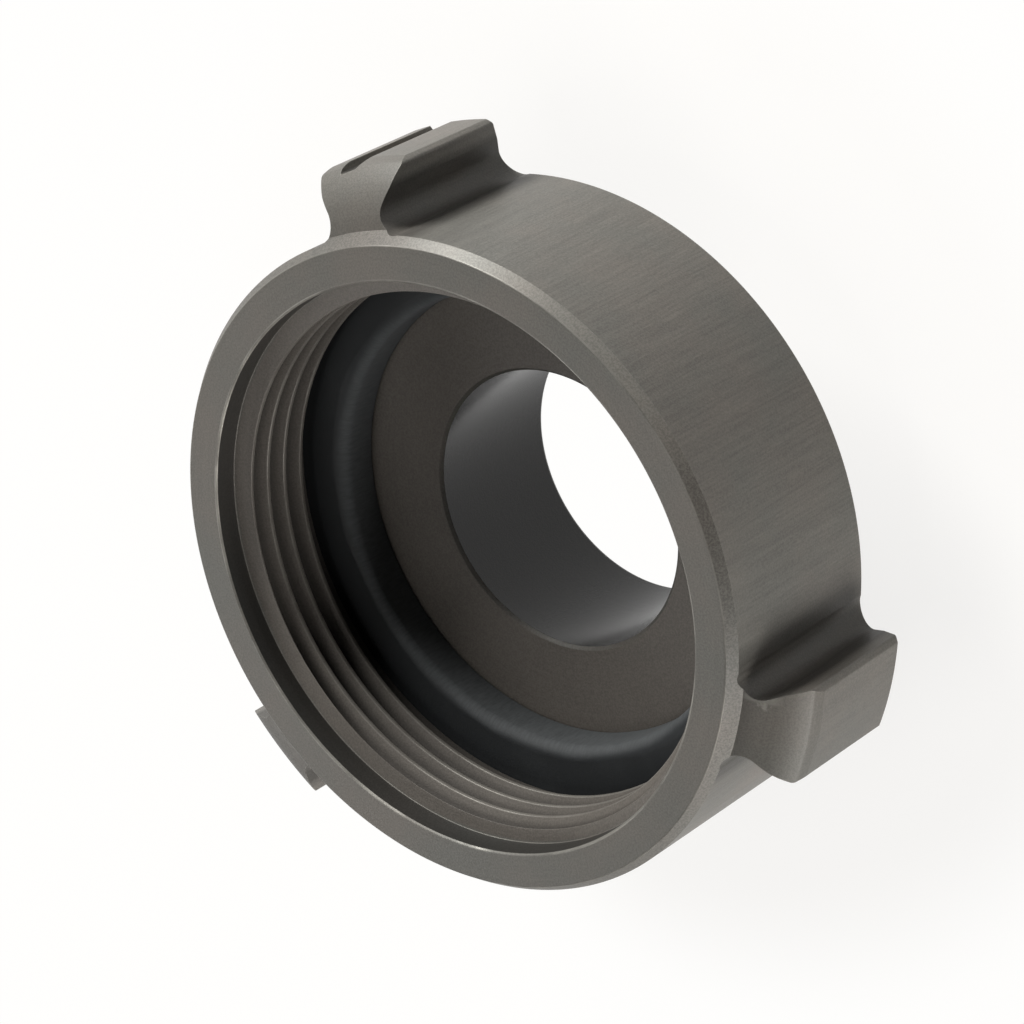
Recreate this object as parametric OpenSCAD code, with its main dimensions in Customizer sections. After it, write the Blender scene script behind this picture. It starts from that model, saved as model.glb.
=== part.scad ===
/* [Whole adapter] */
// Length over all, from the male end's face to the female end's face
length = 46.4; // [44:0.1:60]
// Length of the barrel that carries the lugs
barrel_length = 28.9; // [27:0.1:34]
// Outer diameter of the barrel
barrel_d = 91.2; // [90.8:0.2:94]
// Diameter of the waterway
waterway_d = 39.6; // [30:0.1:41]
// Width of the bevel around the rim, measured along the axis
rim_bevel = 1.45; // [1:0.05:1.6]
// Width of the small bevel where the waterway opens into the gasket's seat
shoulder_bevel = 0.45; // [0.2:0.05:1]

/* [Female thread] */
// Diameter over the thread's crests
female_crest_d = 74.4; // [74:0.1:75.2]
// Height of the thread from crest to root
female_thread_height = 1.95; // [1.8:0.05:2.2]
// Distance from one turn to the next
female_pitch = 3.387; // [3.3:0.001:3.45]
// Flat width left on each crest
female_crest_flat = 0.55; // [0.4:0.05:0.7]
// Gap between the thread's roots and the wall of the plain counterbore
counterbore_gap = 0.65; // [0.3:0.05:0.9]
// Depth of the plain counterbore
counterbore_depth = 3.6; // [3:0.1:4]
// Fall of the shallow cone that leads from the counterbore to the first crest
lead_cone = 0.6; // [0.2:0.1:0.9]
// Gap between the thread's roots and the wall of the plain relief behind the thread
relief_gap = 0.1; // [0.05:0.05:0.3]
// Length of the plain relief between the thread and the gasket's groove
relief_length = 2.15; // [1.5:0.05:2.6]

/* [Gasket] */
// Depth of the gasket's seat below the rim
seat_depth = 23.8; // [23.4:0.1:24.2]
// Depth of the gasket's groove in the relief's wall
gasket_groove_cut = 1.25; // [0.8:0.05:1.6]
// Thickness of the gasket along the axis
gasket_thickness = 6.35; // [6:0.05:6.6]
// Inner diameter of the gasket
gasket_inner_d = 64; // [62:0.5:66]
// Gap between the gasket and the groove's walls
gasket_gap = 0.1; // [0.05:0.05:0.2]

/* [Male thread] */
// Diameter over the thread's crests
male_crest_d = 50; // [49.6:0.1:50.6]
// Height of the thread from crest to root
male_thread_height = 1.55; // [1.4:0.05:1.8]
// Distance from one turn to the next
male_pitch = 2.822; // [2.75:0.001:2.9]
// Flat width left on each crest
male_crest_flat = 0.68; // [0.35:0.01:0.7]
// Length of the plain relief between the thread and the barrel
male_relief_length = 1.6; // [1:0.1:3]

/* [Rocker lugs] */
// Number of lugs around the barrel
lug_count = 3; // [2:1:4]
// Height of a lug above the barrel
lug_height = 8.7; // [7.5:0.1:10]
// Width of a lug's head at its top
lug_head_w = 14.4; // [13.4:0.1:15.4]
// Width of a lug's head at the lip's lower edge
lug_lip_w = 12.1; // [11.4:0.1:12.8]
// Width of a lug's neck at its narrowest
lug_neck_w = 8.9; // [8:0.1:9.4]
// Radius of the hollow at the foot of the neck
neck_hollow_r = 2.6; // [2.2:0.05:3]
// Depth to which the hollows dip into the barrel
neck_hollow_dip = 0.1; // [0.05:0.05:0.4]
// Slope of the flank between neck and lip, in degrees from the middle of the lug
neck_flank_angle = 33; // [30:1:45]
// Distance from a lug's top down to the bevel along the sides of its head
lug_edge_drop = 1.1; // [0.9:0.05:1.4]
// Radius that the domed top follows across its width
lug_dome_r = 50; // [40:1:80]
// Depth below the rim at which the lugs' front faces stand
lug_front_depth = 2; // [1.6:0.1:2.4]
// Radius of the wide arc that the lugs' fronts are turned to
lug_front_sweep = 12; // [10:0.5:16]
// Radius of the front corner where that arc meets a lug's top
lug_front_round = 7; // [5:0.1:8]
// Rise of the lugs' sloped backs from the barrel's back face
lug_back_rise = 4.35; // [2:0.05:6]

/* [Start mark] */
// Width of the notch in the top of the first lug
notch_w = 3.8; // [3.4:0.1:4.6]
// Depth of the notch below the middle of the lug's top
notch_depth = 1.3; // [1:0.05:1.6]
// Width of the notch's floor
notch_floor_w = 2.6; // [2:0.1:3]
// Rise of the notch's floor away from its steep side
notch_floor_rise = 0.4; // [0:0.05:0.6]
// Place of the notch's steep side, measured from the middle of the lug
notch_wall_y = 3.4; // [2.5:0.1:4.5]

/* [Hidden] */
$fn = 128;
turn_steps = 48;
flank_slope = tan(30);
overlap = 1;
barrel_r = barrel_d / 2;
barrel_z = length - barrel_length;
lug_tip_r = barrel_r + lug_height;
rim_bevel_slope = 0.69;
rim_r = barrel_r - rim_bevel * rim_bevel_slope;
crest_r = female_crest_d / 2;
root_r = crest_r + female_thread_height;
counterbore_z = length - counterbore_depth;
seat_z = length - seat_depth;
groove_z = seat_z + gasket_thickness + gasket_gap;
groove_r = root_r + relief_gap + gasket_groove_cut;
relief_z = groove_z + relief_length;
gasket_edge_round = 0.8;
male_crest_r = male_crest_d / 2;
male_root_r = male_crest_r - male_thread_height;
male_bevel = male_thread_height + 0.2;
male_thread_end = barrel_z - male_relief_length;
// Distance by which a lug's straight flank starts inside its round hollow
flank_overlap = 0.06;
// Height above the domed tops at which the lugs' turned fronts would run out
dome_clearance = 0.05;
// Reach of the thread cutters past the crests
cutter_reach = 0.25;
// Depth of the first crest's back edge below the rim, at the first lug's side of the thread
female_lead = 5.3;
// Depth at which the female thread's groove starts
female_start_depth = 3.9;

// Cutter for one V groove that climbs around the axis, right-handed, from z_low to z_high.
// near_r and far_r are its two radial limits, near_half and far_half its half widths there.
module helical_cutter(near_r, far_r, near_half, far_half, pitch, z_low, z_high, start_angle) {
    steps = ceil((z_high - z_low) / pitch * turn_steps);
    section = [[near_r, -near_half], [far_r, -far_half], [far_r, far_half], [near_r, near_half]];
    points = [for (i = [0:steps], s = section)
        let (a = start_angle + 360 * i / turn_steps, z = z_low + pitch * i / turn_steps)
        [s[0] * cos(a), s[0] * sin(a), z + s[1]]];
    sides = [for (i = [0:steps - 1], k = [0:3])
        let (n = (k + 1) % 4, a = 4 * i + k, b = 4 * i + n)
        each [[a, b, a + 4], [b, b + 4, a + 4]]];
    polyhedron(points, concat([[3, 2, 1, 0]], sides, [[for (k = [0:3]) 4 * steps + k]]));
}

module female_thread_groove() {
    half = (female_pitch - female_crest_flat) / 2;
    root_half = half - female_thread_height * flank_slope;
    near_half = half + cutter_reach * flank_slope;
    z_low = relief_z - half;
    start = 360 * (z_low + half - (length - female_lead)) / female_pitch;
    helical_cutter(crest_r - cutter_reach, root_r, near_half, root_half,
        female_pitch, z_low, length - female_start_depth, start);
}

module male_thread_groove() {
    half = (male_pitch - male_crest_flat) / 2;
    root_half = half - male_thread_height * flank_slope;
    far_half = half + cutter_reach * flank_slope;
    helical_cutter(male_root_r, male_crest_r + cutter_reach, root_half, far_half,
        male_pitch, -half, male_thread_end, 0);
}

// Section of one lug, pointing along +X: domed head with bevelled edges, lip and straight flanks
module lug_section() {
    foot = neck_hollow_centre();
    flank_x = foot[0] + (neck_hollow_r - flank_overlap) * sin(neck_flank_angle);
    flank_y = foot[1] - (neck_hollow_r - flank_overlap) * cos(neck_flank_angle);
    lip_x = flank_x + (lug_lip_w / 2 - flank_y) / tan(neck_flank_angle);
    inside_barrel = (barrel_r - 2) / norm(foot);
    side = [foot * inside_barrel, foot, [flank_x, flank_y], [lip_x, lug_lip_w / 2],
        [lug_tip_r - lug_edge_drop, lug_head_w / 2],
        [lug_tip_r + overlap, lug_head_w / 2 - lug_edge_drop - overlap]];
    intersection() {
        polygon(concat(side, [for (i = [1:len(side)]) mirrored(side[len(side) - i])]));
        translate([lug_tip_r - lug_dome_r, 0]) circle(r = lug_dome_r);
    }
}

function mirrored(point) = [point[0], -point[1]];

function neck_hollow_centre() =
    let (y = lug_neck_w / 2 + neck_hollow_r, reach = barrel_r + neck_hollow_r - neck_hollow_dip)
    [sqrt(reach * reach - y * y), y];

// Round hollows on both sides of a lug's foot, which dip into the barrel and meet the flanks
module neck_hollows() {
    foot = neck_hollow_centre();
    for (centre = [foot, mirrored(foot)]) translate(centre) circle(r = neck_hollow_r);
}

module around_lugs() {
    for (i = [0:lug_count - 1]) rotate(360 * i / lug_count) children();
}

// Space that the lugs' turned fronts and their sloped backs stay inside, as a half section
module lug_envelope() {
    front_z = length - lug_front_depth;
    top_r = lug_tip_r + dome_clearance;
    round_r = top_r - lug_front_round;
    round_z = front_z - lug_front_round;
    sweep_z = front_z - lug_front_sweep;
    intersection() {
        union() {
            polygon([[0, barrel_z], [barrel_r, barrel_z], [top_r, barrel_z + lug_back_rise],
                [top_r, round_z], [round_r, round_z], [round_r, front_z], [0, front_z]]);
            translate([round_r, round_z]) circle(r = lug_front_round);
        }
        union() {
            polygon([[0, barrel_z], [top_r + overlap, barrel_z], [top_r + overlap, sweep_z],
                [rim_r, sweep_z], [rim_r, front_z], [0, front_z]]);
            translate([rim_r, sweep_z]) circle(r = lug_front_sweep);
        }
    }
}

// Space that the barrel with its bevelled rim and the lugs stay inside
module turned_envelope() {
    bevel_depth = lug_front_depth + overlap;
    rotate_extrude() {
        polygon([[0, barrel_z], [barrel_r, barrel_z], [barrel_r, length - bevel_depth],
            [rim_r + bevel_depth * rim_bevel_slope, length - bevel_depth], [rim_r, length],
            [0, length]]);
        lug_envelope();
    }
}

module barrel_section() {
    difference() {
        union() {
            circle(r = barrel_r);
            around_lugs() lug_section();
        }
        around_lugs() neck_hollows();
    }
}

module barrel_and_lugs() {
    intersection() {
        turned_envelope();
        translate([0, 0, barrel_z]) linear_extrude(barrel_length) barrel_section();
    }
}

module male_end() {
    relief_start = male_thread_end - male_pitch / 2;
    difference() {
        rotate_extrude() polygon([[0, 0], [male_crest_r - male_bevel, 0],
            [male_crest_r, male_bevel], [male_crest_r, relief_start],
            [male_root_r, relief_start + male_bevel], [male_root_r, barrel_z + overlap],
            [0, barrel_z + overlap]]);
        male_thread_groove();
    }
}

// Everything that is turned out along the axis, from the male end to the female end
module inside() {
    waterway_r = waterway_d / 2;
    relief_r = root_r + relief_gap;
    counterbore_r = root_r + counterbore_gap;
    rotate_extrude() polygon([[0, -overlap], [waterway_r, -overlap],
        [waterway_r, seat_z - shoulder_bevel], [waterway_r + shoulder_bevel, seat_z],
        [groove_r, seat_z], [groove_r, groove_z], [relief_r, groove_z], [relief_r, relief_z],
        [crest_r, relief_z], [crest_r, counterbore_z - lead_cone],
        [counterbore_r, counterbore_z], [counterbore_r, length + overlap],
        [0, length + overlap]]);
}

module start_notch() {
    low_x = lug_tip_r - notch_depth;
    top_x = lug_tip_r + overlap;
    translate([0, 0, barrel_z]) linear_extrude(barrel_length)
        polygon([[low_x, notch_wall_y], [top_x, notch_wall_y], [top_x, notch_wall_y - notch_w],
            [lug_tip_r, notch_wall_y - notch_w],
            [low_x + notch_floor_rise, notch_wall_y - notch_floor_w]]);
}

module adapter_body() {
    color([0.36, 0.355, 0.34]) difference() {
        union() {
            barrel_and_lugs();
            male_end();
        }
        inside();
        female_thread_groove();
        start_notch();
    }
}

module gasket() {
    outer_r = groove_r - gasket_gap;
    inner_r = gasket_inner_d / 2;
    color([0.07, 0.075, 0.08]) translate([0, 0, seat_z]) rotate_extrude()
        polygon([[inner_r, 0], [outer_r, 0], [outer_r, gasket_thickness],
            [inner_r + gasket_edge_round, gasket_thickness],
            [inner_r, gasket_thickness - gasket_edge_round]]);
}

adapter_body();
gasket();
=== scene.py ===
import math
import bmesh
import bpy
from mathutils import Matrix, Vector


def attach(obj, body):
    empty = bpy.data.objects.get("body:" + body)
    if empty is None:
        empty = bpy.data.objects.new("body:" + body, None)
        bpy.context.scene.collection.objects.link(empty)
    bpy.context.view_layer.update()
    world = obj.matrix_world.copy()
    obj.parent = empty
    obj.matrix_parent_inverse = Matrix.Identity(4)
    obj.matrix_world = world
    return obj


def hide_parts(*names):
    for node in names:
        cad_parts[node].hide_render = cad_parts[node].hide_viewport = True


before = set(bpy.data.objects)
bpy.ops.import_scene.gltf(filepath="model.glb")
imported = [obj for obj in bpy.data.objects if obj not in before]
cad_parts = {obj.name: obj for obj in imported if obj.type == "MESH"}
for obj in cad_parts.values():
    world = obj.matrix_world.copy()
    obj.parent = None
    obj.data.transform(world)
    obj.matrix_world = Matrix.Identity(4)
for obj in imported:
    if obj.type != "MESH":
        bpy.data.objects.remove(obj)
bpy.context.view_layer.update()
mm = 0.001
print("frame loaded")

# Distances in metres below which points are taken as one
weldDistance = {"seam": 1e-7, "cut": 2e-6, "sliver": 1e-6}


def linked(mesh, name):
    thing = bpy.data.objects.new(name, mesh)
    bpy.context.scene.collection.objects.link(thing)
    return thing


def fromBmesh(bm, name):
    bmesh.ops.recalc_face_normals(bm, faces=bm.faces)
    mesh = bpy.data.meshes.new(name)
    bm.to_mesh(mesh)
    bm.free()
    return linked(mesh, name)


# Points of an outline in which each corner that has a radius is an arc
def rounded(corners, closed=True, steps=5):
    points = []
    count = len(corners)
    for i, (x, y, radius) in enumerate(corners):
        here = Vector((x, y))
        if radius <= 0 or (not closed and i in (0, count - 1)):
            points.append((x, y))
            continue
        before = (Vector(corners[i - 1][:2]) - here).normalized()
        after = (Vector(corners[(i + 1) % count][:2]) - here).normalized()
        half = before.angle(after) / 2
        reach = radius / math.tan(half)
        centre = here + (before + after).normalized() * (radius / math.sin(half))
        start = here + before * reach - centre
        end = here + after * reach - centre
        turn = start.angle_signed(end)
        for k in range(steps + 1):
            spoke = start.copy()
            spoke.rotate(Matrix.Rotation(-turn * k / steps, 2))
            points.append(tuple(centre + spoke))
    return points


def turned(name, outline, steps):
    bm = bmesh.new()
    ring = [bm.verts.new((r * mm, 0, z * mm)) for r, z in outline]
    edges = [bm.edges.new((ring[i - 1], ring[i])) for i in range(len(ring))]
    bmesh.ops.spin(bm, geom=ring + edges, cent=(0, 0, 0), axis=(0, 0, 1), dvec=(0, 0, 0),
                   angle=2 * math.pi, steps=steps, use_merge=True)
    bmesh.ops.remove_doubles(bm, verts=bm.verts, dist=weldDistance["seam"])
    return fromBmesh(bm, name)


def extruded(name, outline, low, high):
    bm = bmesh.new()
    face = bm.faces.new([bm.verts.new((x * mm, y * mm, low * mm)) for x, y in outline])
    grown = bmesh.ops.extrude_face_region(bm, geom=[face])["geom"]
    tops = [v for v in grown if isinstance(v, bmesh.types.BMVert)]
    bmesh.ops.translate(bm, verts=tops, vec=(0, 0, (high - low) * mm))
    return fromBmesh(bm, name)


# A thread's groove as a cutter that climbs around the axis, right-handed
def helix(name, section, thread, low, high, startAngle):
    bm = bmesh.new()
    pitch, perTurn = thread["pitch"], thread["stepsPerTurn"]
    steps = math.ceil((high - low) / pitch * perTurn)
    rows = []
    for i in range(steps + 1):
        angle = startAngle + 2 * math.pi * i / perTurn
        z = low + pitch * i / perTurn
        rows.append([bm.verts.new((r * math.cos(angle) * mm, r * math.sin(angle) * mm, (z + h) * mm))
                     for r, h in section])
    for a, b in zip(rows, rows[1:]):
        for k in range(len(section)):
            n = (k + 1) % len(section)
            bm.faces.new((a[k], a[n], b[n], b[k]))
    bm.faces.new(rows[0])
    bm.faces.new(rows[-1])
    return fromBmesh(bm, name)


def carved(target, tools):
    for operation, tool in tools:
        cut = target.modifiers.new(tool.name, "BOOLEAN")
        cut.operation = operation
        cut.solver = "MANIFOLD"
        cut.object = tool
    bpy.context.view_layer.update()
    result = target.evaluated_get(bpy.context.evaluated_depsgraph_get())
    mesh = bpy.data.meshes.new_from_object(result)
    target.modifiers.clear()
    target.data = mesh
    mesh.materials.clear()
    for operation, tool in tools:
        bpy.data.objects.remove(tool)


def smoothed(thing, degrees):
    bm = bmesh.new()
    bm.from_mesh(thing.data)
    bmesh.ops.remove_doubles(bm, verts=bm.verts, dist=weldDistance["cut"])
    bmesh.ops.dissolve_degenerate(bm, edges=bm.edges, dist=weldDistance["sliver"])
    bm.to_mesh(thing.data)
    bm.free()
    thing.data.polygons.foreach_set("use_smooth", [True] * len(thing.data.polygons))
    thing.data.set_sharp_from_angle(angle=math.radians(degrees))
    weighted = thing.modifiers.new("weightedNormals", "WEIGHTED_NORMAL")
    weighted.keep_sharp = True
    weighted.weight = 100


# Millimetres, as in the CAD model, with the small roundings that only the looks need
bodySizes = {
    "length": 46.4,
    "barrelBack": 17.5,
    "barrelRadius": 45.6,
    "rimRadius": 44.6,
    "rimBevelSlope": 0.69,
    "rimBevelOverrun": 0.09,  # how far the bevel runs on into the lugs' fronts
    "waterwayRadius": 19.8,
    "waterwayBreak": (0.2, 0.4),  # width and height of the broken edge at the male end
    "shoulderBevel": 0.45,
    "seat": 22.6,
    "grooveTop": 29.05,
    "grooveRadius": 40.5,
    "reliefTop": 31.2,
    "reliefRadius": 39.25,
    "counterboreRadius": 39.8,
    "counterboreFloor": 42.8,
    "leadCone": 0.6,
    "mouthBevel": 0.22,
    "rimRound": 0.3,
    "edgeRound": 0.1,
    "seatEdgeRound": 0.08,
    "reliefEdgeRound": 0.05,
    "coneEdgeRound": 0.12,
    "maleEndRound": 0.2,
    "backRound": 0.3,
    "turnSteps": 288,
    "sharpAngle": 30,
    "femaleThread": {
        "crestRadius": 37.2,
        "rootRadius": 39.15,
        "pitch": 3.387,
        "crestFlat": 0.55,
        "lead": 5.3,
        "startDepth": 3.9,
        "edgeRound": 0.09,
        "stepsPerTurn": 144,
    },
    "maleThread": {
        "crestRadius": 25.0,
        "rootRadius": 23.45,
        "pitch": 2.822,
        "crestFlat": 0.68,
        "bevel": 1.75,
        "end": 15.9,
        "edgeRound": 0.07,
        "stepsPerTurn": 144,
    },
    "lug": {
        "count": 3,
        "tipRadius": 54.3,
        "headWidth": 14.4,
        "lipWidth": 12.1,
        "neckWidth": 8.9,
        "hollowRadius": 2.6,
        "hollowDip": 0.1,
        "flankAngle": 33.0,
        "edgeDrop": 1.1,
        "domeRadius": 50.0,
        "frontDepth": 2.0,
        "frontSweep": 12.0,
        "frontRound": 7.0,
        "backRise": 4.35,
        "frontClearance": 0.05,
        "cornerRound": 0.4,
        "lipRound": 0.3,
        "domeSteps": 14,
        "hollowSteps": 20,
        "frontSteps": 40,
        "barrelSteps": 84,
    },
    "notch": {
        "width": 3.8,
        "depth": 1.3,
        "floorWidth": 2.6,
        "floorRise": 0.4,
        "wallY": 3.4,
        "wallBevel": 0.25,
        "edgeRound": 0.3,
    },
}
# How far a cutter stands past what it cuts, and the inner radii of the turned envelope and of the bore's
# cutter, which both lie in the open waterway
cutOverrun = 1
envelopeCore, boreCore = 15, 10


# Half of one lug's outline at +X, from the middle of its domed top down to the barrel
def lugHalf():
    lug, barrel = bodySizes["lug"], bodySizes["barrelRadius"]
    hollow = lug["hollowRadius"]
    reach = barrel + hollow - lug["hollowDip"]
    footY = lug["neckWidth"] / 2 + hollow
    footX = math.sqrt(reach ** 2 - footY ** 2)
    angle = math.radians(lug["flankAngle"])
    flankX = footX + hollow * math.sin(angle)
    flankY = footY - hollow * math.cos(angle)
    lipX = flankX + (lug["lipWidth"] / 2 - flankY) / math.tan(angle)

    dome = lug["domeRadius"]
    domeCentre = lug["tipRadius"] - dome
    headY = lug["headWidth"] / 2
    edgeX = lug["tipRadius"] - lug["edgeDrop"]
    bevelSum = edgeX + headY - domeCentre
    topY = (bevelSum - math.sqrt(2 * dome ** 2 - bevelSum ** 2)) / 2
    topX = domeCentre + math.sqrt(dome ** 2 - topY ** 2)
    widest = math.asin((topY - lug["cornerRound"]) / dome)
    spokes = [widest * k / lug["domeSteps"] for k in range(lug["domeSteps"] + 1)]
    top = [(domeCentre + dome * math.cos(a), dome * math.sin(a)) for a in spokes]
    head = rounded([(*top[-1], 0), (topX, topY, lug["cornerRound"]), (edgeX, headY, lug["cornerRound"]),
                    (lipX, lug["lipWidth"] / 2, lug["lipRound"]), (flankX, flankY, 0)], closed=False)

    along = (barrel ** 2 - hollow ** 2 + reach ** 2) / (2 * reach)
    across = math.sqrt(barrel ** 2 - along ** 2)
    unitX, unitY = footX / reach, footY / reach
    meetX, meetY = along * unitX - across * unitY, along * unitY + across * unitX
    first = math.radians(270) + angle
    last = math.atan2(meetY - footY, meetX - footX) % (2 * math.pi)
    spokes = [first + (last - first) * k / lug["hollowSteps"] for k in range(lug["hollowSteps"] + 1)]
    arc = [(footX + hollow * math.cos(a), footY + hollow * math.sin(a)) for a in spokes]
    return top[:-1] + head[:-1] + arc


# The extruded profile: a round barrel with its lugs
def sectionOutline():
    lug, barrel = bodySizes["lug"], bodySizes["barrelRadius"]
    half = lugHalf()
    whole = [(x, -y) for x, y in reversed(half[1:])] + half
    edge = math.atan2(half[-1][1], half[-1][0])
    between = 2 * math.pi / lug["count"]
    points = []
    for i in range(lug["count"]):
        turn = between * i
        points += [(x * math.cos(turn) - y * math.sin(turn), x * math.sin(turn) + y * math.cos(turn))
                   for x, y in whole]
        for k in range(1, lug["barrelSteps"]):
            angle = turn + edge + (between - 2 * edge) * k / lug["barrelSteps"]
            points.append((barrel * math.cos(angle), barrel * math.sin(angle)))
    return points


# Turned outline of the whole body: male end, barrel back, lug backs, lug fronts and rim bevel
def envelopeOutline():
    b, lug, thread = bodySizes, bodySizes["lug"], bodySizes["maleThread"]
    frontZ = b["length"] - lug["frontDepth"]
    topRadius = lug["tipRadius"] + lug["frontClearance"]
    roundR, roundZ = topRadius - lug["frontRound"], frontZ - lug["frontRound"]
    sweepZ = frontZ - lug["frontSweep"]
    reliefStart = thread["end"] - thread["pitch"] / 2
    edge = b["edgeRound"]

    def frontHeight(radius):
        swept = sweepZ + math.sqrt(lug["frontSweep"] ** 2 - (radius - b["rimRadius"]) ** 2)
        if radius <= roundR:
            return min(swept, frontZ)
        turnedZ = roundZ + math.sqrt(max(0, lug["frontRound"] ** 2 - (radius - roundR) ** 2))
        return min(swept, turnedZ)

    bevelEnd = b["rimRadius"] + (lug["frontDepth"] + b["rimBevelOverrun"]) * b["rimBevelSlope"]
    shares = [math.sin(math.pi / 2 * k / lug["frontSteps"]) for k in range(lug["frontSteps"] + 1)]
    radii = [bevelEnd + (topRadius - bevelEnd) * share for share in shares]
    front = [(r, frontHeight(r), 0) for r in reversed(radii)]
    back = [
        (envelopeCore, 0, 0), (thread["crestRadius"] - thread["bevel"], 0, b["maleEndRound"]),
        (thread["crestRadius"], thread["bevel"], edge), (thread["crestRadius"], reliefStart, edge),
        (thread["rootRadius"], reliefStart + thread["bevel"], edge),
        (thread["rootRadius"], b["barrelBack"], b["backRound"]), (b["barrelRadius"], b["barrelBack"], 0),
        (topRadius, b["barrelBack"] + lug["backRise"], 0),
    ]
    rim = [(b["rimRadius"], b["length"], b["rimRound"]), (envelopeCore, b["length"], 0)]
    return rounded(back + front + rim)


# Turned outline of everything that is bored away from inside
def insideOutline():
    b, crest = bodySizes, bodySizes["femaleThread"]["crestRadius"]
    waterway, counterbore = b["waterwayRadius"], b["counterboreRadius"]
    mouth, edge = b["mouthBevel"], b["edgeRound"]
    breakWidth, breakHeight = b["waterwayBreak"]
    bottom, top = -cutOverrun, b["length"] + cutOverrun
    return rounded([
        (boreCore, bottom, 0), (waterway + 4 * breakWidth, bottom, 0),
        (waterway + breakWidth, 0, edge), (waterway, breakHeight, edge),
        (waterway, b["seat"] - b["shoulderBevel"], b["seatEdgeRound"]),
        (waterway + b["shoulderBevel"], b["seat"], b["seatEdgeRound"]),
        (b["grooveRadius"], b["seat"], 0), (b["grooveRadius"], b["grooveTop"], 0),
        (b["reliefRadius"], b["grooveTop"], b["reliefEdgeRound"]), (b["reliefRadius"], b["reliefTop"], 0),
        (crest, b["reliefTop"], b["reliefEdgeRound"]), (crest, b["counterboreFloor"] - b["leadCone"], edge),
        (counterbore, b["counterboreFloor"], b["coneEdgeRound"]),
        (counterbore, b["length"] - mouth, edge), (counterbore + mouth, b["length"], edge),
        (counterbore + 4 * mouth, top, 0), (boreCore, top, 0),
    ])


# Section of a 60 degree groove with slightly rounded edges, around height 0. Its root lies outwards of
# the crest on a female thread and inwards of it on a male one.
def grooveSection(thread):
    half = (thread["pitch"] - thread["crestFlat"]) / 2
    slope = math.tan(math.radians(30))
    depth = abs(thread["rootRadius"] - thread["crestRadius"])
    rootHalf = half - depth * slope
    edge = thread["edgeRound"]
    inward = math.copysign(1, thread["rootRadius"] - thread["crestRadius"])
    pastCrest = 0.3
    side = [(-pastCrest, half + edge), (0, half + edge), (0.25 * edge, half + 0.35 * edge),
            (edge, half - edge * slope), (depth - edge, rootHalf + edge * slope),
            (depth, rootHalf - 0.5 * edge)]
    mirrored = [(d, -h) for d, h in reversed(side)]
    return [(thread["crestRadius"] + inward * d, h) for d, h in side + mirrored]


def femaleCutter():
    b, thread = bodySizes, bodySizes["femaleThread"]
    low = b["reliefTop"] - (thread["pitch"] - thread["crestFlat"]) / 2
    start = 2 * math.pi * (b["reliefTop"] - (b["length"] - thread["lead"])) / thread["pitch"]
    return helix("femaleCutter", grooveSection(thread), thread, low, b["length"] - thread["startDepth"],
                 start)


def maleCutter():
    thread = bodySizes["maleThread"]
    low = -(thread["pitch"] - thread["crestFlat"]) / 2
    return helix("maleCutter", grooveSection(thread), thread, low, thread["end"], 0)


def notchCutter():
    notch, tip = bodySizes["notch"], bodySizes["lug"]["tipRadius"]
    top, floor, wall = tip + cutOverrun, tip - notch["depth"], notch["wallY"]
    bevel = notch["wallBevel"]
    outline = rounded([
        (top, wall, 0), (tip + bevel, wall + bevel, 0), (tip - bodySizes["edgeRound"], wall, 0.1),
        (floor, wall, notch["edgeRound"]),
        (floor + notch["floorRise"], wall - notch["floorWidth"], notch["edgeRound"]),
        (tip, wall - notch["width"], 0), (top, wall - notch["width"], 0),
    ])
    return extruded("notchCutter", outline, bodySizes["barrelBack"] - cutOverrun,
                    bodySizes["length"] + cutOverrun)


def adapterBody():
    steps = bodySizes["turnSteps"]
    piece = extruded("adapterBody", sectionOutline(), -cutOverrun, bodySizes["length"] + cutOverrun)
    carved(piece, [
        ("INTERSECT", turned("envelope", envelopeOutline(), steps)),
        ("DIFFERENCE", turned("inside", insideOutline(), steps)),
        ("DIFFERENCE", femaleCutter()),
        ("DIFFERENCE", maleCutter()),
        ("DIFFERENCE", notchCutter()),
    ])
    smoothed(piece, bodySizes["sharpAngle"])
    return piece


body = adapterBody()
print("body carved", len(body.data.polygons), "faces")

# Millimetres. Each wave around the ring is a size, a count and a phase.
gasketSizes = {
    "seat": 22.6,
    "thickness": 6.35,
    "innerRadius": 32.0,
    "outerRadius": 40.4,
    "backRound": 0.35,
    "outerRound": 0.2,
    "innerRound": 1.9,
    "roundWave": 0.55,
    "innerWave": 0.12,
    "waves": ((0.45, 2, 0.6), (0.3, 5, 1.9), (0.2, 9, 0.4), (0.12, 17, 0.0)),
    "cornerSteps": 10,
    "aroundSteps": 360,
    "sharpAngle": 50,
}


# Rubber ring whose rounded inner front edge swells and thins in slow waves
def gasketRing():
    g = gasketSizes
    bm = bmesh.new()
    back, front = g["seat"], g["seat"] + g["thickness"]
    rows = []
    for i in range(g["aroundSteps"]):
        angle = 2 * math.pi * i / g["aroundSteps"]
        wave = sum(size * math.sin(count * angle + phase) for size, count, phase in g["waves"])
        inner = g["innerRadius"] + g["innerWave"] * (1 + wave)
        outline = rounded([
            (inner, back, g["backRound"]), (g["outerRadius"], back, g["outerRound"]),
            (g["outerRadius"], front, g["outerRound"]),
            (inner, front, g["innerRound"] + g["roundWave"] * wave),
        ], steps=g["cornerSteps"])
        rows.append([bm.verts.new((r * math.cos(angle) * mm, r * math.sin(angle) * mm, z * mm))
                     for r, z in outline])
    for i in range(len(rows)):
        a, b = rows[i - 1], rows[i]
        for k in range(len(a)):
            bm.faces.new((a[k - 1], a[k], b[k], b[k - 1]))
    ring = fromBmesh(bm, "gasketRing")
    smoothed(ring, g["sharpAngle"])
    return ring


gasket = gasketRing()
print("gasket made")


def addNode(tree, kind, **values):
    made = tree.nodes.new(kind)
    for key, value in values.items():
        setattr(made, key, value)
    return made


def plug(tree, source, target):
    tree.links.new(source, target)


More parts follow.
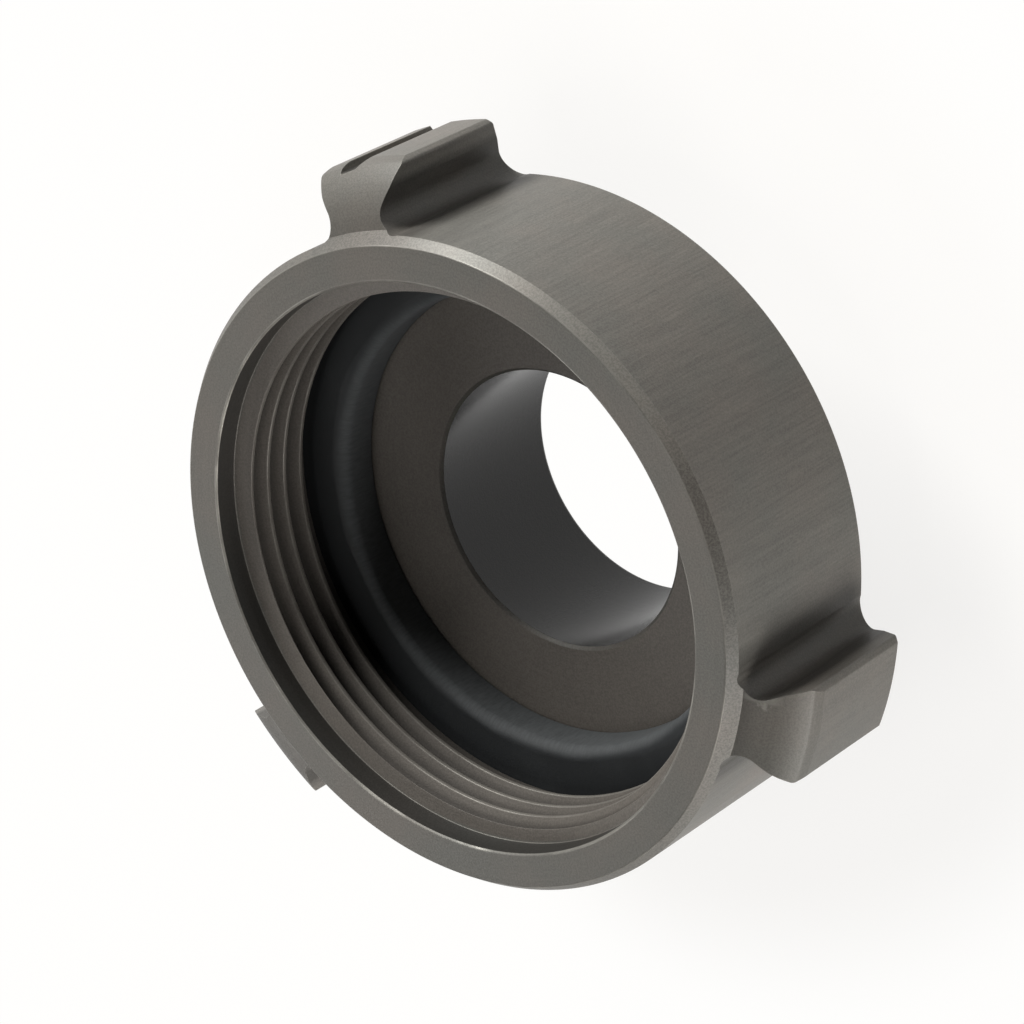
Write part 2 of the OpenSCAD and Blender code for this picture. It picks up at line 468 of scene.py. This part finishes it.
def maths(tree, operation, a, b=None, c=None, clamp=False):
    made = addNode(tree, "ShaderNodeMath", operation=operation, use_clamp=clamp)
    for place, value in zip(made.inputs, (a, b, c)):
        if value is None:
            continue
        if isinstance(value, (int, float)):
            place.default_value = value
        else:
            plug(tree, value, place)
    return made.outputs[0]


def product(tree, *values):
    result = values[0]
    for value in values[1:]:
        result = maths(tree, "MULTIPLY", result, value)
    return result


def total(tree, *values, clamp=False):
    result = values[0]
    for value in values[1:]:
        result = maths(tree, "ADD", result, value, clamp=clamp)
    return result


def highest(tree, *values):
    result = values[0]
    for value in values[1:]:
        result = maths(tree, "MAXIMUM", result, value)
    return result


def ramp(tree, value, low, high, toLow=0.0, toHigh=1.0):
    made = addNode(tree, "ShaderNodeMapRange", interpolation_type="SMOOTHSTEP")
    plug(tree, value, made.inputs["Value"])
    made.inputs["From Min"].default_value = low
    made.inputs["From Max"].default_value = high
    made.inputs["To Min"].default_value = toLow
    made.inputs["To Max"].default_value = toHigh
    return made.outputs["Result"]


# Masks over a length in millimetres: past a limit, before it, or between two, each with a soft edge
def above(tree, value, limit, soft):
    return ramp(tree, value, (limit - soft) * mm, limit * mm)


def below(tree, value, limit, soft):
    return ramp(tree, value, (limit + soft) * mm, limit * mm)


def within(tree, value, low, high, softLow, softHigh):
    return product(tree, above(tree, value, low, softLow), below(tree, value, high, softHigh))


def noise(tree, vector, scale, detail=2.0, roughness=0.5):
    made = addNode(tree, "ShaderNodeTexNoise")
    plug(tree, vector, made.inputs["Vector"])
    made.inputs["Scale"].default_value = scale
    made.inputs["Detail"].default_value = detail
    made.inputs["Roughness"].default_value = roughness
    return made.outputs["Fac"]


def joined(tree, x, y, z):
    made = addNode(tree, "ShaderNodeCombineXYZ")
    for place, value in zip(made.inputs, (x, y, z)):
        if isinstance(value, (int, float)):
            place.default_value = value
        else:
            plug(tree, value, place)
    return made.outputs[0]


def colourMix(tree, share, first, second):
    made = addNode(tree, "ShaderNodeMix", data_type="RGBA")
    plug(tree, share, made.inputs["Factor"])
    for place, colour in ((made.inputs["A"], first), (made.inputs["B"], second)):
        if isinstance(colour, tuple):
            place.default_value = (*colour, 1)
        else:
            plug(tree, colour, place)
    return made.outputs["Result"]


def bumped(tree, relief, strength, depth, normal=None):
    bump = addNode(tree, "ShaderNodeBump")
    bump.inputs["Strength"].default_value = strength
    bump.inputs["Distance"].default_value = depth * mm
    plug(tree, relief, bump.inputs["Height"])
    if normal is not None:
        plug(tree, normal, bump.inputs["Normal"])
    return bump.outputs[0]


def roundedNormal(tree, reach):
    edge = addNode(tree, "ShaderNodeBevel", samples=4)
    edge.inputs["Radius"].default_value = reach * mm
    return edge.outputs[0]


def emptyMaterial(name):
    material = bpy.data.materials.new(name)
    material.use_nodes = True
    tree = material.node_tree
    tree.nodes.clear()
    return material, tree, addNode(tree, "ShaderNodeOutputMaterial")


# Shared group: place on a turned part, in metres: distance from the axis, height and distance around,
# which is measured at one radius all over
aroundRadius = 45.0 * mm


def turnedPlaceGroup():
    tree = bpy.data.node_groups.new("turnedPlace", "ShaderNodeTree")
    for name in ("Radius", "Height", "Around"):
        tree.interface.new_socket(name, in_out="OUTPUT", socket_type="NodeSocketFloat")
    out = addNode(tree, "NodeGroupOutput")
    place = addNode(tree, "ShaderNodeTexCoord")
    split = addNode(tree, "ShaderNodeSeparateXYZ")
    plug(tree, place.outputs["Object"], split.inputs[0])
    x, y, z = split.outputs
    squares = total(tree, product(tree, x, x), product(tree, y, y))
    plug(tree, maths(tree, "SQRT", squares), out.inputs["Radius"])
    plug(tree, z, out.inputs["Height"])
    plug(tree, product(tree, maths(tree, "ARCTAN2", y, x), aroundRadius), out.inputs["Around"])
    return tree


turnedPlace = turnedPlaceGroup()

# Lengths are in millimetres, texture scales per metre and angles in degrees around the axis
hardCoatLook = {
    "colour": (0.104, 0.103, 0.094),
    "warmColour": (0.112, 0.101, 0.090),
    # The light bare-metal colour serves both the knocked corner's wear and the painted glints
    "bareAndGlintColour": (0.36, 0.35, 0.32),
    "metallic": 0.12,
    "specular": 0.3,
    "roughness": 0.5,
    "boreRoughness": 0.13,
    # Painted light and shade as factors on the coat: the shoulder lighter, the bore, the counterbore wall,
    # the thread valleys and the lug necks darker
    "paintedShades": {"shoulder": 1.18, "bore": 0.2, "well": 0.25, "valley": 0.5, "neck": 0.55},
    "plainShade": 0.70,
    "cloudShade": 0.10,
    "lineShade": 0.24,
    "speckleShade": 0.26,
    "bandShade": 0.09,
    # Painted shade on the rim bevel, broken into speckle by the grain
    "bevelSpeckledShade": -0.18,
    "ringScale": 2300.0,
    "streakScale": 2900.0,
    "bandScale": 638.0,
    "streakStretch": 0.035,
    "grainScale": 3600.0,
    "cloudScale": 60.0,
    "lineRelief": 0.6,
    "speckleRelief": 0.5,
    "bumpStrength": 0.5,
    "bumpDepth": 0.03,
    "edgeRound": 0.12,
    # A painted highlight on one arc of the rim bevel, in degrees around: lighter, a little more metallic and
    # polished
    "bevelHighlightArc": (-82.0, -62.0, -22.0, -6.0),
    "bevelHighlightGain": 0.6,
    "bevelHighlightMetal": 0.06,
    "bevelHighlightPolish": 0.02,
    # Painted glints: a light bare-metal colour along outer edges, the mouth, the rim and the crests
    "glintReach": 0.22,
    "glintEdge": 0.5,
    "glintMouth": 0.6,
    "glintRim": 0.4,
    "glintCrest": 0.22,
    "bareAndGlintMetal": 0.8,
    "bareAndGlintPolish": 0.12,
    "breakScale": 90.0,
}
# The knocked corner of one lug: a scuffed strip outwards from its foot and a ragged bright core
knockLook = {
    "angle": -114.3,
    "strip": (46.6, 49.8),
    "stripSoft": (0.8, 1.4),
    "stripHalf": 0.6,
    "stripFade": 0.5,
    "stripBare": 0.3,
    "core": (-20.9, -44.3, 43.7),
    "coreRadius": 1.3,
    "coreFade": 1.1,
    "coreRagged": 2.6,
    "coreBare": 0.45,
    "grainReach": 0.6,
    "raggedScale": 1400.0,
}


# Where each finish of the body lies, and where its painted shade, painted light and painted glints lie, as
# masks from 0 to 1
def bodyMasks(tree, place, flat):
    b, lug, thread = bodySizes, bodySizes["lug"], bodySizes["femaleThread"]
    radius, height, around = place.outputs
    mouth, rim, barrel = b["counterboreRadius"], b["rimRadius"], b["barrelRadius"]
    crest, root = thread["crestRadius"], thread["rootRadius"]
    threadTop = b["counterboreFloor"] - b["leadCone"]
    upright = ramp(tree, flat, 0.3, 0.1)
    level = ramp(tree, flat, 0.8, 0.95)
    slanted = product(tree, ramp(tree, flat, 0.4, 0.5), ramp(tree, flat, 0.75, 0.65))
    rolled = product(tree, ramp(tree, flat, 0.60, 0.66), ramp(tree, flat, 0.995, 0.97))
    fromLug = maths(tree, "PINGPONG", around, math.pi / lug["count"] * aroundRadius)
    neck = lug["neckWidth"] / 2
    return {
        "outside": product(tree, above(tree, radius, barrel - 0.4, 0.4), ramp(tree, flat, 0.06, 0.015)),
        "bevel": product(tree, within(tree, radius, rim + 0.1, rim + 1.3, 0.2, 0.2), slanted),
        "bore": product(tree, below(tree, radius, b["waterwayRadius"] + 0.3, 0.4), upright),
        "thread": within(tree, radius, crest - 0.1, root + 0.15, 0.3, 0.3),
        "shoulder": product(tree, below(tree, radius, gasketSizes["innerRadius"], 0.5), level),
        "well": product(tree, within(tree, radius, mouth - 0.2, mouth + 0.2, 0.2, 0.2), upright,
                        above(tree, height, b["counterboreFloor"] + 0.2, 0.3)),
        "valley": product(tree, within(tree, radius, root - 0.35, root + 0.25, 1.2, 0.2),
                          below(tree, height, threadTop - 0.3, 0.3)),
        "neck": product(tree, within(tree, fromLug, neck - 0.25, neck + 3.55, 0.8, 3.2),
                        within(tree, radius, barrel, lug["tipRadius"] - 3.3, 0.3, 1.5), upright),
        "mouthLine": product(tree, within(tree, radius, mouth + 0.02, mouth + 0.28, 0.07, 0.12),
                             above(tree, height, b["length"] - 0.2, 0.1)),
        "rimLine": product(tree, within(tree, radius, rim - 0.2, rim + 0.1, 0.1, 0.2), rolled),
        "crestLine": product(tree, within(tree, radius, crest - 0.1, crest + 0.08, 0.3, 0.1),
                             within(tree, height, b["reliefTop"] + 0.3, threadTop - 0.2, 1.0, 0.4)),
        "outerSide": above(tree, radius, mouth - 0.2, 0.2),
    }


# Painted glints along the outer edges, the mouth, the rim and the crests: a light bare-metal colour, more
# metallic and polished, standing in for highlights
def edgeGlintLines(tree, coords, masks):
    look = hardCoatLook
    shape = addNode(tree, "ShaderNodeNewGeometry")
    turn = addNode(tree, "ShaderNodeVectorMath", operation="DOT_PRODUCT")
    plug(tree, roundedNormal(tree, look["glintReach"]), turn.inputs[0])
    plug(tree, shape.outputs["True Normal"], turn.inputs[1])
    sharp = product(tree, ramp(tree, turn.outputs["Value"], 0.985, 0.90), masks["outerSide"])
    lines = highest(tree, product(tree, sharp, look["glintEdge"]),
                    product(tree, masks["mouthLine"], look["glintMouth"]),
                    product(tree, masks["rimLine"], look["glintRim"]),
                    product(tree, masks["crestLine"], look["glintCrest"]))
    broken = noise(tree, coords.outputs["Object"], look["breakScale"], 3.0, 0.6)
    return product(tree, lines, ramp(tree, broken, 0.36, 0.62, 0.15, 1.0))


def knockedCorner(tree, coords, place, flat, grain):
    knock = knockLook
    radius, height, around = place.outputs
    low, high = knock["strip"]
    softLow, softHigh = knock["stripSoft"]
    aside = maths(tree, "SUBTRACT", around, math.radians(knock["angle"]) * aroundRadius)
    aside = total(tree, maths(tree, "ABSOLUTE", aside), product(tree, grain, knock["grainReach"] * mm))
    strip = product(tree, below(tree, aside, knock["stripHalf"], knock["stripFade"]),
                    above(tree, radius, low, softLow), below(tree, radius, high, softHigh),
                    ramp(tree, flat, 0.3, 0.5))
    away = addNode(tree, "ShaderNodeVectorMath", operation="DISTANCE")
    plug(tree, coords.outputs["Object"], away.inputs[0])
    away.inputs[1].default_value = Vector(knock["core"]) * mm
    ragged = noise(tree, coords.outputs["Object"], knock["raggedScale"], 2.0, 0.6)
    frayed = total(tree, away.outputs["Value"], product(tree, ragged, knock["coreRagged"] * mm))
    core = below(tree, frayed, knock["coreRadius"], knock["coreFade"])
    return highest(tree, product(tree, strip, knock["stripBare"]), product(tree, core, knock["coreBare"]))


# Turned lines all over, and the extrusion's streaks on the barrel and the lugs' sides
def surfaceLines(tree, place, outside):
    look = hardCoatLook
    radius, height, around = place.outputs
    ringPlace = joined(tree, radius, height, product(tree, around, 0.02))
    rings = noise(tree, ringPlace, look["ringScale"], 3.0, 0.6)
    slanting = total(tree, around, product(tree, radius, 0.6))
    streakPlace = joined(tree, slanting, product(tree, height, look["streakStretch"]), 0.0)
    streaks = noise(tree, streakPlace, look["streakScale"], 3.0, 0.6)
    bands = noise(tree, streakPlace, look["bandScale"], 2.0, 0.5)
    lines = addNode(tree, "ShaderNodeMix", data_type="FLOAT")
    plug(tree, outside, lines.inputs["Factor"])
    plug(tree, ramp(tree, rings, 0.3, 0.7, 0.35, 0.65), lines.inputs["A"])
    plug(tree, ramp(tree, streaks, 0.3, 0.7), lines.inputs["B"])
    return lines.outputs["Result"], product(tree, ramp(tree, bands, 0.3, 0.7), outside)


def hardCoatMaterial():
    look = hardCoatLook
    material, tree, out = emptyMaterial("hardCoatedAluminium")
    skin = addNode(tree, "ShaderNodeBsdfPrincipled")
    plug(tree, skin.outputs[0], out.inputs[0])
    place = addNode(tree, "ShaderNodeGroup", node_tree=turnedPlace)
    coords = addNode(tree, "ShaderNodeTexCoord")
    facing = addNode(tree, "ShaderNodeSeparateXYZ")
    plug(tree, coords.outputs["Normal"], facing.inputs[0])
    flat = maths(tree, "ABSOLUTE", facing.outputs["Z"])
    masks = bodyMasks(tree, place, flat)
    lines, bands = surfaceLines(tree, place, masks["outside"])
    grain = noise(tree, coords.outputs["Object"], look["grainScale"], 2.0, 0.7)
    cloud = noise(tree, coords.outputs["Object"], look["cloudScale"], 4.0, 0.6)
    speckle = ramp(tree, grain, 0.32, 0.68)
    # Painted highlight on one arc of the rim bevel
    bevelHighlightArc = [math.radians(angle) * aroundRadius for angle in look["bevelHighlightArc"]]
    bevelHighlight = product(tree, masks["bevel"], ramp(tree, place.outputs["Around"], bevelHighlightArc[0], bevelHighlightArc[1]),
                     ramp(tree, place.outputs["Around"], bevelHighlightArc[3], bevelHighlightArc[2]))
    # Painted glints of bare metal along the edges, together with the knocked corner's wear
    bareAndGlint = highest(tree, edgeGlintLines(tree, coords, masks),
                   knockedCorner(tree, coords, place, flat, grain))

    # How light the coat is, with painted shade speckled over the bevel and a painted highlight on one arc of
    # it
    cloudShade = ramp(tree, cloud, 0.3, 0.7, look["plainShade"], look["plainShade"] + look["cloudShade"])
    # Painted shade over the bevel, speckled by the grain
    bevelSpeckledShade = product(tree, masks["bevel"], ramp(tree, grain, 0.35, 0.65, look["bevelSpeckledShade"], 0.0))
    shade = total(tree, product(tree, lines, look["lineShade"]), product(tree, speckle, look["speckleShade"]),
                  product(tree, bands, look["bandShade"]), cloudShade, bevelSpeckledShade,
                  product(tree, bevelHighlight, look["bevelHighlightGain"]))
    # Painted light on the shoulder and painted shade in the bore, the counterbore wall, the thread valleys
    # and the lug necks
    for name, share in look["paintedShades"].items():
        shade = product(tree, shade, maths(tree, "MULTIPLY_ADD", masks[name], share - 1, 1.0))

    # Its colour, warmer in the thread and on the shoulder, with the bare metal of the knocked corner and the
    # painted glints over it
    warm = product(tree, highest(tree, masks["thread"], masks["shoulder"]), 0.8)
    warmth = total(tree, ramp(tree, cloud, 0.3, 0.7, 0.15, 0.85), warm, clamp=True)
    coat = addNode(tree, "ShaderNodeVectorMath", operation="SCALE")
    plug(tree, colourMix(tree, warmth, look["colour"], look["warmColour"]), coat.inputs[0])
    plug(tree, shade, coat.inputs["Scale"])
    plug(tree, colourMix(tree, bareAndGlint, coat.outputs[0], look["bareAndGlintColour"]), skin.inputs["Base Color"])

    metal = total(tree, look["metallic"], product(tree, masks["bore"], -look["metallic"]),
                  product(tree, bevelHighlight, look["bevelHighlightMetal"]))
    metal = total(tree, metal, product(tree, bareAndGlint, look["bareAndGlintMetal"]), clamp=True)
    plug(tree, metal, skin.inputs["Metallic"])
    skin.inputs["Specular IOR Level"].default_value = look["specular"]
    rough = total(tree, look["roughness"] - 0.09, product(tree, lines, 0.10), product(tree, cloud, 0.08),
                  product(tree, bareAndGlint, -look["bareAndGlintPolish"]), product(tree, bevelHighlight, -look["bevelHighlightPolish"]),
                  product(tree, masks["bore"], look["boreRoughness"] - look["roughness"]))
    plug(tree, rough, skin.inputs["Roughness"])
    relief = total(tree, product(tree, lines, look["lineRelief"]),
                   product(tree, speckle, look["speckleRelief"]))
    normal = bumped(tree, relief, look["bumpStrength"], look["bumpDepth"],
                    roundedNormal(tree, look["edgeRound"]))
    plug(tree, normal, skin.inputs["Normal"])
    return material


# Lengths are in millimetres and texture scales per metre
rubberLook = {
    "colour": (0.0135, 0.0155, 0.0175),
    "dustColour": (0.082, 0.088, 0.092),
    "roughness": 0.62,
    "dustRoughness": 0.25,
    "dustRadius": 32.2,
    "dustFade": 1.6,
    "dustWobble": 1.6,
    "fibreScale": 2400.0,
    "fibreStretch": 0.25,
    "cloudScale": 130.0,
    "cloudDust": 0.10,
    "grainScale": 4200.0,
    "grainRelief": 0.4,
    "cloudRelief": 0.9,
    "bumpStrength": 0.5,
    "bumpDepth": 0.12,
}


# Black rubber with pale dust rubbed into its inner edge
def rubberMaterial():
    look = rubberLook
    material, tree, out = emptyMaterial("blackRubber")
    skin = addNode(tree, "ShaderNodeBsdfPrincipled")
    plug(tree, skin.outputs[0], out.inputs[0])
    place = addNode(tree, "ShaderNodeGroup", node_tree=turnedPlace)
    radius, height, around = place.outputs
    coords = addNode(tree, "ShaderNodeTexCoord")
    stretch = look["fibreStretch"]
    fibrePlace = joined(tree, around, product(tree, height, stretch), product(tree, radius, stretch))
    fibre = noise(tree, fibrePlace, look["fibreScale"], 3.0, 0.6)
    cloud = noise(tree, coords.outputs["Object"], look["cloudScale"], 4.0, 0.6)
    grain = noise(tree, coords.outputs["Object"], look["grainScale"])
    wobble = product(tree, maths(tree, "SUBTRACT", cloud, 0.5), look["dustWobble"] * mm)
    band = below(tree, total(tree, radius, wobble), look["dustRadius"], look["dustFade"])
    dust = total(tree, product(tree, band, ramp(tree, fibre, 0.2, 0.8, 0.55, 1.0)),
                 ramp(tree, cloud, 0.5, 0.8, 0.0, look["cloudDust"]), clamp=True)
    plug(tree, colourMix(tree, dust, look["colour"], look["dustColour"]), skin.inputs["Base Color"])
    rough = total(tree, product(tree, dust, look["dustRoughness"]), look["roughness"])
    plug(tree, rough, skin.inputs["Roughness"])
    relief = total(tree, product(tree, grain, look["grainRelief"]), product(tree, cloud, look["cloudRelief"]))
    plug(tree, bumped(tree, relief, look["bumpStrength"], look["bumpDepth"]), skin.inputs["Normal"])
    return material


body.data.materials.append(hardCoatMaterial())
gasket.data.materials.append(rubberMaterial())
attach(body, "root")
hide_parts("adapter_body")
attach(gasket, "root")
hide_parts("gasket")
print("materials set")

white = (1.0, 0.995, 0.985)
# Lengths are in millimetres. The glow is how much of the floor shows as plain white to the camera.
floorLook = {
    "radius": 3000.0,
    "segments": 96,
    "colour": (0.93, 0.91, 0.885),
    "holeRadius": 20.5,
    "holeFade": 2.0,
    "nearRadius": 62.0,
    "nearGlow": 0.78,
    "farRadius": 88.0,
    "farGlow": 0.985,
}


# Pale table that keeps a soft shadow, and shows plain white where it is seen through the waterway
def floorPiece():
    look = floorLook
    bm = bmesh.new()
    bmesh.ops.create_circle(bm, cap_ends=True, segments=look["segments"], radius=look["radius"] * mm)
    table = fromBmesh(bm, "tableTop")
    material, tree, out = emptyMaterial("paleTable")
    paper = addNode(tree, "ShaderNodeBsdfDiffuse")
    paper.inputs["Color"].default_value = (*look["colour"], 1)
    glow = addNode(tree, "ShaderNodeEmission")
    glow.inputs["Color"].default_value = (*white, 1)
    glow.inputs["Strength"].default_value = 1.0
    place = addNode(tree, "ShaderNodeGroup", node_tree=turnedPlace)
    radius = place.outputs["Radius"]
    path = addNode(tree, "ShaderNodeLightPath")
    seen = total(tree, path.outputs["Is Camera Ray"], path.outputs["Is Glossy Ray"],
                 path.outputs["Is Transmission Ray"], clamp=True)
    throughHole = below(tree, radius, look["holeRadius"], look["holeFade"])
    lit = ramp(tree, radius, look["nearRadius"] * mm, look["farRadius"] * mm,
               look["nearGlow"], look["farGlow"])
    both = addNode(tree, "ShaderNodeMixShader")
    plug(tree, product(tree, seen, highest(tree, throughHole, lit)), both.inputs[0])
    plug(tree, paper.outputs[0], both.inputs[1])
    plug(tree, glow.outputs[0], both.inputs[2])
    plug(tree, both.outputs[0], out.inputs[0])
    table.data.materials.append(material)


floorPiece()

skyLook = {"colour": (0.95, 0.97, 1.0), "strength": 0.02}


# A faint even light all round, which the camera sees as plain white
def studioSky():
    world = bpy.data.worlds.new("studio")
    bpy.context.scene.world = world
    world.use_nodes = True
    tree = world.node_tree
    tree.nodes.clear()
    out = addNode(tree, "ShaderNodeOutputWorld")
    light = addNode(tree, "ShaderNodeBackground")
    light.inputs["Color"].default_value = (*skyLook["colour"], 1)
    light.inputs["Strength"].default_value = skyLook["strength"]
    seen = addNode(tree, "ShaderNodeBackground")
    seen.inputs["Color"].default_value = (*white, 1)
    seen.inputs["Strength"].default_value = 1.0
    path = addNode(tree, "ShaderNodeLightPath")
    both = addNode(tree, "ShaderNodeMixShader")
    plug(tree, path.outputs["Is Camera Ray"], both.inputs[0])
    plug(tree, light.outputs[0], both.inputs[1])
    plug(tree, seen.outputs[0], both.inputs[2])
    plug(tree, both.outputs[0], out.inputs[0])


studioSky()

# Metres and watts. Each lamp is a soft oval that points at the aim.
lampAim = (0.0, 0.0, 0.03)
lampValues = {
    "keyLamp": {"place": (0.82, 0.20, 0.31), "size": (0.4, 0.4),
                "watts": 13.6, "colour": (1.0, 0.995, 0.97)},
    "leftLamp": {"place": (-0.29, 0.80, 0.45), "size": (0.45, 0.45),
                 "watts": 2.5, "colour": (1.0, 0.99, 0.97)},
    "lowLamp": {"place": (-0.90, -0.10, 0.09), "size": (0.5, 0.14),
                "watts": 2.3, "colour": (1.0, 0.96, 0.90)},
    "sideLamp": {"place": (-0.74, -0.52, 0.25), "size": (0.4, 0.4),
                 "watts": 7.0, "colour": (1.0, 0.98, 0.95)},
    "highLamp": {"place": (-0.35, 0.35, 0.85), "size": (0.4, 0.4),
                 "watts": 0.8, "colour": (1.0, 1.0, 1.0)},
    "topLamp": {"place": (0.0, 0.0, 1.0), "size": (0.5, 0.5),
                "watts": 1.4, "colour": (1.0, 0.98, 0.94)},
}


def studioLamp(name, values):
    lamp = bpy.data.lights.new(name, "AREA")
    lamp.shape = "ELLIPSE"
    lamp.size, lamp.size_y = values["size"]
    lamp.energy = values["watts"]
    lamp.color = values["colour"]
    holder = linked(lamp, name)
    holder.location = values["place"]
    aim = Vector(lampAim) - Vector(values["place"])
    holder.rotation_euler = aim.to_track_quat("-Z", "Y").to_euler()


for name, values in lampValues.items():
    studioLamp(name, values)

# Metres, and millimetres for the lens and its sensor
cameraValues = {
    "place": (0.1222, -0.3632, 0.41525),
    "forward": (-0.2201, 0.6701, -0.7089),
    "up": (0.9368, -0.0573, -0.3450),
    "lens": 143.56,
    "sensor": 36.0,
    "nearest": 0.02,
}


def photoCamera():
    values = cameraValues
    data = bpy.data.cameras.new("photoCamera")
    data.lens = values["lens"]
    data.sensor_width = values["sensor"]
    data.clip_start = values["nearest"]
    camera = linked(data, "photoCamera")
    forward = Vector(values["forward"]).normalized()
    right = forward.cross(Vector(values["up"])).normalized()
    up = right.cross(forward)
    pose = Matrix((right, up, -forward)).transposed().to_4x4()
    pose.translation = Vector(values["place"])
    camera.matrix_world = pose
    bpy.context.scene.camera = camera


photoCamera()
bpy.context.scene.view_settings.view_transform = "Standard"
print("stage set")
